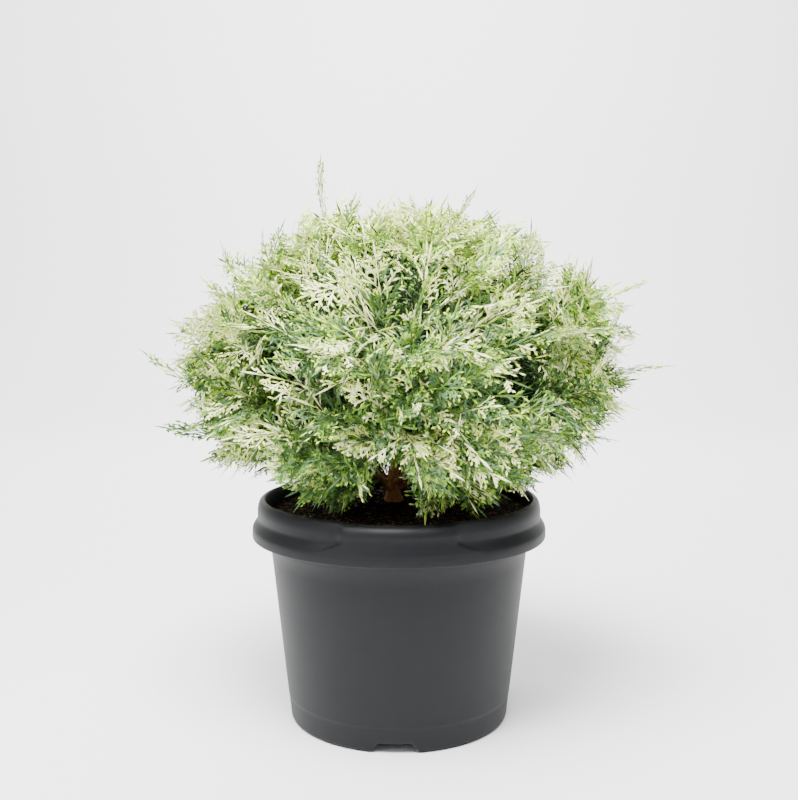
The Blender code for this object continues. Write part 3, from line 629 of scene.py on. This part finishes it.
def makeTwigs(stems, twigs):
    # young shoots: matt red brown on the stems, and green on the twigs that the leaves still clothe
    brown = makeMaterial("young cypress shoots, red brown", "7B5A35", 0.7, 1.45)
    green = makeMaterial("young cypress shoots, green", "8C9A55", 0.6, 1.45)
    for name, paths, foot, tip, sides, material in (
            ("stemShoots", stems, twig["stemRadius"], twig["radius"], twig["stemSides"], brown),
            ("twigShoots", twigs, twig["radius"], twig["tipRadius"], twig["sides"], green)):
        points = tubePoints(paths, evenTaper(paths, foot, tip), sides)
        makePiece(name, points, tubeFaces(len(paths), paths.shape[1], sides), material)


# Sprays: the flat fans that clothe the twigs

spray = {
    "perTwig": 9, "firstShare": 0.10, "angle": 42.0, "angleScatter": (0.7, 1.2),
    "tipAngle": 0.12,  # radians
    "length": (0.036, 0.060), "planeScatter": 0.45, "aside": 0.4, "outwards": 0.35, "droop": 0.34,
    # on the stem's own end: from where, the roll between fans in radians, and how they change
    "stemFrom": 0.30, "stemRoll": 2.4, "stemAngle": 0.72,
    "stemLength": (0.95, 0.40), "stemSlim": (0.85, 0.40),  # start, and loss towards the tip
    # outline: shares of the rounded outline that a fan may reach, and the room left to the CAD's box
    "outline": (0.84, 1.05), "stub": 0.02, "boxMargin": 0.28,
}
hollow = {"x": -0.006, "halfWidth": 0.018, "narrowing": 0.02, "back": 0.010, "top": 0.1700, "rise": 0.15}
clearance = {"mouth": 0.0845, "soil": 0.0012, "lip": 0.0010, "beside": 0.002, "drop": 0.001, "tip": 0.0005}


def inHollow(points):
    # the dark opening in front of the trunk's foot: towards the front, which is towards lower y, it
    # gets a little narrower and its top rises, both in a straight line
    x, y, z = np.moveaxis(points, -1, 0)
    between = np.abs(x - hollow["x"]) < hollow["halfWidth"] + hollow["narrowing"] * y
    return between & (y < hollow["back"]) & (z < hollow["top"] - hollow["rise"] * y)


def potTop(points):
    # the least height over the soil, over the lip and collar, or beside the pot
    x, y = points[..., 0], points[..., 1]
    r = np.hypot(x, y)
    overSoil = soilHeight(x, y) + clearance["soil"]
    level = np.where(r < clearance["mouth"], overSoil, pot["height"] + clearance["lip"])
    isBeside = r > pot["collarRadius"] + clearance["beside"]
    return np.where(isBeside, pot["height"] - clearance["drop"], level)


def placeSprays(twigs, stems):
    # Fans leave each twig, each bough and the outer part of each stem, in turns on both sides, and on
    # a stem round and round too. One goes on at the tip. The others on a stem get shorter and slimmer
    # towards the mass's own tip.
    t = np.linspace(spray["stemFrom"], 1.0, twigs.shape[1])[None, :, None]
    spines = stems[:, :1] * (1 - t) + stems[:, -1:] * t
    boughs = np.stack([boughPath(name, twigs.shape[1] - 1) for name in boughNames])
    paths = np.concatenate([twigs, boughs, spines])
    onStem = np.arange(len(paths)) >= len(twigs) + len(boughs)
    stemWide, sideWide = onStem[:, None, None], 1 - onStem[:, None, None]
    count = spray["perTwig"]
    share = np.linspace(spray["firstShare"], 1.0, count)
    place = share * (paths.shape[1] - 1)
    low = np.minimum(place.astype(int), paths.shape[1] - 2)
    part = (place - low)[None, :, None]
    at = paths[:, low] * (1 - part) + paths[:, low + 1] * part
    along = unit(paths[:, low + 1] - paths[:, low])
    out = unit(at - crown["heart"])
    outer = np.where(stemWide, np.array([0.3, 0.8, 0.5]), out)
    plane = unit(np.cross(along, outer) + spray["planeScatter"] * rng.normal(0, 1, at.shape))
    plane = turnAbout(plane, along, np.where(onStem[:, None], np.arange(count) * spray["stemRoll"], 0.0))
    hand = np.where(np.arange(count) % 2, 1.0, -1.0)[None, :, None]
    aside = unit(unit(np.cross(plane, along)) * spray["aside"] + plane * hand)
    angle = np.radians(spray["angle"]) * rng.uniform(*spray["angleScatter"], at.shape[:2])[..., None]
    angle = np.where(stemWide, angle * spray["stemAngle"], angle)
    angle = np.where(share[None, :, None] > 0.99, spray["tipAngle"] * sideWide, angle)
    axis = along * np.cos(angle) + aside * np.sin(angle)
    level = np.hypot(out[..., 0], out[..., 1])[..., None] * sideWide
    sagging = np.array([0, 0, -1.0]) * spray["droop"] * level
    axis = unit(axis + sideWide * out * spray["outwards"] + sagging)
    long = rng.uniform(*spray["length"], at.shape[:2])
    lengthStart, lengthLoss = spray["stemLength"]
    long = np.where(onStem[:, None], long * (lengthStart - lengthLoss * share), long)
    long = np.where(onStem[:, None] & (share > 0.99), twig["lead"], long)
    slimStart, slimLoss = spray["stemSlim"]
    slim = np.where(onStem[:, None], slimStart - slimLoss * share, 1.0) * np.ones_like(long)
    rows = [v.reshape(-1, 3) for v in (at, axis, out)]
    return trimSprays(*rows, long.ravel(), slim.ravel(), np.repeat(onStem, count))


def trimSprays(at, axis, out, long, slim, lead):
    # Fans that would pass the rounded outline or the CAD's box are shortened step by step. One is
    # dropped where it is still too long, or reaches the pot, the soil or the hollow in front.
    limit = rng.uniform(*spray["outline"], len(long))
    boxLow, boxHigh = np.array(cadBox)
    for _ in range(10):
        tip = at + axis * long[:, None]
        margin = (long * np.where(lead, 0.0, spray["boxMargin"]))[:, None]
        over = (outlineShare(tip) > limit) & ~lead
        over |= ((tip < boxLow + margin) | (tip > boxHigh - margin)).any(-1)
        long = np.where(over, long * 0.94, long)
    tip = at + axis * long[:, None]
    middle = at + axis * long[:, None] * 0.6
    keep = (outlineShare(tip) <= limit + spray["stub"]) | lead
    keep &= (tip[:, 2] > potTop(tip) + clearance["tip"]) & (at[:, 2] > potTop(at))
    keep &= ~inHollow(tip) & ~inHollow(middle)
    return at[keep], axis[keep], long[keep], out[keep], slim[keep]


# Fans: a flat pattern of slim leaflets, drawn in shares of the fan's length

fan = {
    "patterns": 6, "seed": 77, "branches": 11, "leaflets": 5, "middleParts": 4,
    "firstBranch": 0.06, "branchSpan": 0.86, "bend": 0.16, "branchScatter": (0.82, 1.12),
    "footAngle": 48.0, "angleLoss": 16.0, "angleScatter": 6.0,
    "firstLeaflet": 0.16, "leafletSpan": 0.70, "leafletAngle": 36.0, "leafletScatter": (0.85, 1.15),
    "middleLength": 0.34, "middleSpan": 0.9, "width": 0.036, "widthAtLength": 0.042, "widest": 0.075,
    "roll": 0.7, "courseScatter": 0.04,  # both in radians
    "wave": 0.16, "sagAlong": 0.16, "sagAcross": 0.22, "liftScatter": 0.02,
}
# a leaflet's foot, left and right shoulder, ridge and tip
leaflet = {
    "along": np.array([0.0, 0.56, 0.56, 0.52, 1.0]), "across": np.array([0.0, 0.5, -0.5, 0.0, 0.0]),
    "ridge": np.array([0.004, 0.0, 0.0, 0.011, 0.0]),
    "faces": np.array([[0, 3, 1], [0, 2, 3], [1, 3, 4], [3, 2, 4]]),
}


def fanPattern(dice):
    # One flat fan, 1 long and about 0.7 wide, as leaflets with a foot, an angle, a length and a width.
    # Side branchlets leave the middle line in turns, longest below its middle by a sine's power, and
    # carry leaflets in turns themselves. Tier 0 is the middle line, 1 the branchlets, 2 their leaflets.
    branches, leaflets, parts = fan["branches"], fan["leaflets"], fan["middleParts"]
    j = np.arange(branches)
    t = fan["firstBranch"] + fan["branchSpan"] * j / (branches - 1)
    hand = np.where(j % 2, 1.0, -1.0)
    bend = dice.uniform(-fan["bend"], fan["bend"])

    def middle(x):
        # the middle line: x ahead, and bend times x squared aside
        return np.stack([x, bend * x ** 2], -1)

    arch = 0.47 * np.sin(np.pi * t ** 0.75) ** 0.7 * (1.05 - 0.45 * t) + 0.05
    long = arch * dice.uniform(*fan["branchScatter"], branches)
    spread = dice.uniform(-fan["angleScatter"], fan["angleScatter"], branches)
    angle = np.radians(fan["footAngle"] - fan["angleLoss"] * t + spread) * hand + 2 * bend * t
    along = np.stack([np.cos(angle), np.sin(angle)], -1)
    u = fan["firstLeaflet"] + fan["leafletSpan"] * np.arange(leaflets) / (leaflets - 1)
    turn = np.where(np.arange(leaflets) % 2, 1.0, -1.0) * np.radians(fan["leafletAngle"])
    leafFoot = middle(t)[:, None] + along[:, None] * (long[:, None] * u)[..., None]
    leafAngle = angle[:, None] + turn * dice.uniform(*fan["leafletScatter"], (branches, leaflets))
    leafLong = 0.34 * long[:, None] * (1.15 - 0.75 * u) + 0.030
    leafLong = leafLong * dice.uniform(*fan["leafletScatter"], (branches, leaflets))
    line = np.linspace(0, fan["middleSpan"], parts)
    branch = np.concatenate([np.full(parts, -1), j, np.repeat(j, leaflets)])
    return {
        "foot": np.concatenate([middle(line), middle(t), leafFoot.reshape(-1, 2)]),
        "angle": np.concatenate([2 * bend * line, angle, leafAngle.ravel()]),
        "long": np.concatenate([np.full(parts, fan["middleLength"]), long, leafLong.ravel()]),
        "tier": np.repeat([0, 1, 2], [parts, branches, branches * leaflets]),
        "along": np.concatenate([line, t, (t[:, None] + 0.12 * u).ravel()]),
        "outer": np.concatenate([np.zeros(parts), np.full(branches, 0.5), np.tile(u, branches)]),
        "branch": branch, "wave": dice.uniform(-1, 1, branches + 1)[branch],
    }


def fanFacing(axis, out, roll):
    # the way a fan's upper side faces: outwards, made square to its axis and then rolled about it
    face = out - axis * (out * axis).sum(-1, keepdims=True)
    endOn = np.linalg.norm(face, axis=-1, keepdims=True) < 0.1
    face = np.where(endOn, np.cross(axis, [0.3, 0.8, 0.5]), face)
    return turnAbout(unit(face), axis, roll)


def fanPoints(pattern, dice, at, axis, long, out, slim):
    # Corner points (fan, leaflet, corner, 3): foot plus the leaflet's own course and width in the
    # fan's plane, slimmed across, with a ridge, a wave at the sides and a sag that grows by squares.
    n, m = len(at), len(pattern["long"])
    fineTier = pattern["tier"][None] == 2
    face = fanFacing(axis, out, dice.uniform(-fan["roll"], fan["roll"], n))
    side = np.cross(face, axis)
    slim = slim[:, None]
    course = pattern["angle"][None] + dice.normal(0, fan["courseScatter"], (n, m)) * fineTier
    angle = np.arctan2(slim * np.sin(course), np.cos(course))
    reach = pattern["long"][None] * np.hypot(slim * np.sin(course), np.cos(course))
    foot = pattern["foot"][None] * np.stack([np.ones((n, m)), slim * np.ones((1, m))], -1)
    width = np.minimum(fan["width"] * (fan["widthAtLength"] / long)[:, None], fan["widest"])
    width = width * dice.uniform(*fan["leafletScatter"], (n, m))
    ahead = np.stack([np.cos(angle), np.sin(angle)], -1)[:, :, None]
    beside = np.stack([-np.sin(angle), np.cos(angle)], -1)[:, :, None]
    flat = foot[:, :, None] + ahead * (reach[..., None] * leaflet["along"])[..., None]
    flat = flat + beside * (width[..., None] * leaflet["across"])[..., None]
    wave = pattern["wave"][None, :, None] * fan["wave"] * np.abs(flat[..., 1])
    sag = -fan["sagAlong"] * flat[..., 0] ** 2 - fan["sagAcross"] * flat[..., 1] ** 2
    loose = fan["liftScatter"] * dice.normal(0, 1, (n, m, 1)) * fineTier[..., None]
    size = long[:, None, None]
    lift = ((leaflet["ridge"] + wave + sag + loose) * size)[..., None]
    flat = flat * size[..., None]
    points = at[:, None, None] + axis[:, None, None] * flat[..., :1] + side[:, None, None] * flat[..., 1:]
    points = points + face[:, None, None] * lift
    points[..., 2] = np.maximum(points[..., 2], potTop(points))
    return points


# Leaf colours: each leaflet has a plain one, dealt by its fan, its branchlet and its place; by its place
# it also gets painted shade deep in the crown and low down

# deepGreen is also dealt as painted shade, and shadeGreen, nearly black, is only painted shade
leafColours = {  # colour and slot
    "ivory": ("FCFEC4", "foliage_cream"), "cream": ("EEF4A2", "foliage_cream"),
    "paleLime": ("D0E46C", "foliage_lime"), "lime": ("AFCF4A", "foliage_lime"),
    "freshGreen": ("8BB23C", "foliage_green"), "midGreen": ("668C34", "foliage_green"),
    "blueGreen": ("64875A", "foliage_green"), "deepGreen": ("3C5728", "foliage_green"),
    "shadeGreen": ("182811", "foliage_green"),
}
mixes = {  # shares that add up to 1
    "tips": {"lime": 0.42, "freshGreen": 0.30, "paleLime": 0.28},
    # greener, darker tips for low fans: partly painted shade from above
    "lowTips": {"freshGreen": 0.42, "lime": 0.22, "midGreen": 0.36},
    "leafy": {"freshGreen": 0.38, "midGreen": 0.34, "lime": 0.28},
    "bluish": {"blueGreen": 0.38, "midGreen": 0.24, "deepGreen": 0.30, "freshGreen": 0.08},
    # painted shade: darker greens for fans deep in the crown and low down
    "inner": {"deepGreen": 0.45, "blueGreen": 0.30, "midGreen": 0.25},
    # painted deep shade: nearly black greens for the deepest fans
    "dark": {"shadeGreen": 0.62, "deepGreen": 0.38},
    "pale": {"ivory": 0.46, "cream": 0.34, "paleLime": 0.20},
}
dealing = {
    "crownLow": 0.15, "crownHeight": 0.19,  # metres that count as height 0 and on to 1
    # the first line sets a painted light level that is low deep in the crown and low down
    "shell": (0.45, 0.92), "shellShare": 0.76, "heightShare": 0.30, "scatter": 0.10,
    # how low fans turn bluish, darker-tipped and less cream: painted shade by height on the plant's own
    # colours
    "lowTipsBelow": 0.30, "bluishFrom": 0.10, "bluishByHeight": 0.80,
    "tipsFrom": 0.62, "tipsByHeight": 0.35,
    "paleFans": (0.26, 0.62), "paleShares": (0.85, 0.36, 0.10), "paleByHeight": 0.48,
    # where painted shade begins, where some cream is kept in it, and where it turns nearly black
    "innerBelow": 0.58, "paleInnerBelow": 0.60, "darkBelow": 0.37,
}
piecesUnder = 190000  # triangles


def pickFrom(dice, mix):
    # numbers of leafColours: the running sum of the mix's shares that each throw in 0..1 falls under
    names = list(leafColours)
    edges = np.cumsum(list(mixes[mix].values()))[:-1]
    return np.array([names.index(name) for name in mixes[mix]])[np.searchsorted(edges, dice)]


def dealColours(pattern, shell, height, branchDice, fanDice, leafDice):
    # Numbers of leafColours for every leaflet of every fan. Fans deep inside get painted shade: darker
    # greens, and nearly black ones deepest in. Outer ones are green with lime tips, and whole branchlets,
    # in some fans nearly all, are cream. Low down green turns bluish and darker, and cream and lime are
    # rarer. Bluish and cream foliage are the plant's own, but their shares change with height as
    # painted shade low down and painted light on top.
    d = dealing
    fanDice, height = fanDice[:, None], height[:, None]
    outerness = 0.5 * pattern["along"][None] + 0.5 * pattern["outer"][None]
    # a painted light level: low deep inside the crown and low down, where shade falls, and higher on top,
    # where light falls from above
    light = smoothStep(*d["shell"], shell)[:, None] * d["shellShare"] + d["heightShare"] * height
    light = light + d["scatter"] * (leafDice - 0.5)
    mix = {name: pickFrom(leafDice, name) for name in mixes}
    # painted shade low down: low fans get greener, darker tips
    tips = np.where(height < d["lowTipsBelow"], mix["lowTips"], mix["tips"])
    # bluish foliage is the plant's own, and its larger share low down is painted shade
    bluish = branchDice * 0.5 + fanDice * 0.5 > d["bluishFrom"] + d["bluishByHeight"] * height
    colour = np.where(bluish, mix["bluish"], mix["leafy"])
    colour = np.where(outerness > d["tipsFrom"] + d["tipsByHeight"] * (0.5 - height), tips, colour)
    most, some, few = d["paleShares"]
    share = np.where(fanDice < d["paleFans"][0], most, np.where(fanDice < d["paleFans"][1], some, few))
    # cream thins out low down and grows on top: painted shade and painted light by height
    share = share + d["paleByHeight"] * (height - 0.50)
    colour = np.where(branchDice < share, mix["pale"], colour)
    # painted shade: darker greens where the painted light level is low
    colour = np.where(light < d["innerBelow"], mix["inner"], colour)
    # within the painted shade, some whole branchlets stay cream
    paleInside = (light < d["paleInnerBelow"]) & (branchDice < share * 0.5)
    colour = np.where(paleInside, mix["pale"], colour)
    # painted deep shade: nearly black greens where the painted light level is lowest
    return np.where(light < d["darkBelow"], mix["dark"], colour)


def makeFans(at, axis, long, out, slim):
    # each fan gets a pattern by lot, each leaflet a colour, and the leaflets of one colour are joined
    dice = np.random.default_rng(fan["seed"])
    patterns = [fanPattern(dice) for _ in range(fan["patterns"])]
    kind = dice.integers(0, len(patterns), len(at))
    shell = outlineShare(at + axis * long[:, None] * 0.6)
    height = np.clip((at[:, 2] - dealing["crownLow"]) / dealing["crownHeight"], 0, 1)
    dealt = {name: [] for name in leafColours}
    for k, pattern in enumerate(patterns):
        pick = kind == k
        points = fanPoints(pattern, dice, at[pick], axis[pick], long[pick], out[pick], slim[pick])
        n, m = points.shape[:2]
        branchDice = dice.uniform(0, 1, (n, 32))[:, pattern["branch"]]
        fanDice = dice.uniform(0, 1, n)
        leafDice = dice.uniform(0, 1, (n, m))
        colour = dealColours(pattern, shell[pick], height[pick], branchDice, fanDice, leafDice)
        for c, name in enumerate(dealt):
            dealt[name].append(points[colour == c])
    for name, parts in dealt.items():
        makeLeaves(name, np.concatenate(parts))


def makeLeaves(name, leaflets):
    # the leaflets of one colour, in as few pieces as the limit on triangles allows
    hexColour, slot = leafColours[name]
    # scale leaves: a waxy matt skin with a faint sheen; plain colours, because each has its place
    waxy = {"Specular IOR Level": 0.35}
    material = makeMaterial("scale leaves, " + name, hexColour, 0.52, 1.42, waxy)
    triangles = len(leaflets) * len(leaflet["faces"])
    for k, part in enumerate(np.array_split(leaflets, max(1, math.ceil(triangles / piecesUnder)))):
        faces = np.arange(len(part))[:, None, None] * part.shape[1] + leaflet["faces"][None]
        # the leaves of every colour stand for all the masses, and the first piece names them
        nodes = ["mass_" + mass for mass in masses] if (name, k) == ("ivory", 0) else ()
        makePiece(f"leaves_{name}_{k}", part, faces.reshape(-1, 3), material, False, nodes)
    print("leaves", name, triangles, "triangles")


# Room, lights and camera

room = {
    "floorSize": 6.0, "floorDrop": 0.0002, "sweepStart": 1.6, "sweepRadius": 0.8, "wallTop": 4.0,
    "ambient": 0.30, "lens": 46.94, "distance": 0.672, "height": 0.2715, "tilt": 84.444,
}
lights = {  # place, aim, width and height, watts
    "softboxLeft": ((-1.1, -0.9, 0.85), (0.0, 0.0, 0.22), (0.9, 1.2), 11),
    "softboxRight": ((1.1, -0.7, 0.65), (0.0, 0.0, 0.22), (0.8, 1.2), 5),
    "overhead": ((-0.12, -0.42, 1.15), (0.0, 0.0, 0.22), (0.6, 0.6), 54),
    "sweepLight": ((0.0, 0.9, 1.6), (0.0, 2.2, 0.4), (2.5, 1.0), 120),
}


def makeFloor():
    # a flat floor that sweeps up by a quarter circle into a wall well behind the plant
    s, radius = room["floorSize"], room["sweepRadius"]
    a = np.linspace(0, np.pi / 2, 17)
    y = np.concatenate([[-s], room["sweepStart"] + radius * np.sin(a), [room["sweepStart"] + radius]])
    z = np.concatenate([[0.0], radius - radius * np.cos(a), [room["wallTop"]]]) - room["floorDrop"]
    x, y = np.meshgrid([-s, s], y)
    points = np.stack([x, y, np.repeat(z[:, None], 2, 1)], -1).reshape(-1, 3)
    mesh = bpy.data.meshes.new("paperSweep")
    mesh.from_pydata(points.tolist(), [], gridFaces(len(z), 2, False).tolist())
    mesh.update()
    mesh.shade_smooth()
    # matt paper: no gloss, so that only the plant's soft shadow shows on it
    mesh.materials.append(makeMaterial("matt white paper", "FAFAFA", 0.9, 1.4))
    floor = bpy.data.objects.new("paperSweep", mesh)
    bpy.context.collection.objects.link(floor)


def makeLights():
    # area lights that face their aim, and an even white world
    for name, (place, aim, size, power) in lights.items():
        light = bpy.data.lights.new(name, "AREA")
        light.shape = "RECTANGLE"
        light.size, light.size_y = size
        light.energy = power
        made = bpy.data.objects.new(name, light)
        made.location = place
        made.rotation_euler = (Vector(aim) - Vector(place)).to_track_quat("-Z", "Y").to_euler()
        bpy.context.collection.objects.link(made)
    world = bpy.data.worlds.new("studio")
    world.use_nodes = True
    world.node_tree.nodes["Background"].inputs["Color"].default_value = (1, 1, 1, 1)
    world.node_tree.nodes["Background"].inputs["Strength"].default_value = room["ambient"]
    bpy.context.scene.world = world


def makeCamera():
    # the photograph's view: level with the crown, tilted a little down
    data = bpy.data.cameras.new("camera")
    data.lens = room["lens"]
    data.clip_start = 0.01
    camera = bpy.data.objects.new("camera", data)
    camera.location = (0, -room["distance"], room["height"])
    camera.rotation_euler = (math.radians(room["tilt"]), 0, 0)
    bpy.context.collection.objects.link(camera)
    bpy.context.scene.camera = camera


makePot()
print("pot made")
makeSoil()
for grainName in grains:
    scatterGrains(grainName)
print("soil made")
makeLimbs()
print("limbs made")
stemPaths, twigPaths = growTwigs()
makeTwigs(stemPaths, twigPaths)
print("twigs made")
fans = placeSprays(twigPaths, stemPaths)
print("fans placed", len(fans[0]))
makeFans(*fans)
print("foliage made")
makeFloor()
makeLights()
makeCamera()
print("room made")
